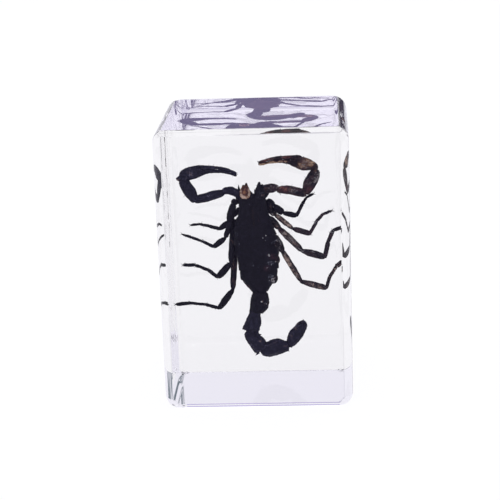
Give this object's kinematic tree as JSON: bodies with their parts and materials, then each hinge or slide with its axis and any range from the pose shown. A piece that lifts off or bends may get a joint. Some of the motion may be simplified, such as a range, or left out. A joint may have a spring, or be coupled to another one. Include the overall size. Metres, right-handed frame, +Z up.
{
  "type": "scorpion in resin block",
  "caption": "Upright clear cast resin block with rounded polished edges and a dried black scorpion sealed inside.",
  "frame": {"origin": "middle of the flat base, on the surface that the block stands on", "axes": "+Z up, along the block's longest side; +X the block's width; the viewing face, which shows the scorpion's back, looks along -Y"},
  "size_m": [0.0396, 0.0356, 0.06],
  "materials": {
    "clear_resin": "clear casting resin, polished, faintly lavender",
    "black_cuticle": "dried scorpion cuticle, black, satin, granular",
    "brown_cuticle": "thin dried cuticle, red-brown, satin",
    "pale_membrane": "dried joint membrane, grey-brown, matte"
  },
  "bodies": {
    "root": {"resin_block": "clear_resin"}
  },
  "joints": []
}
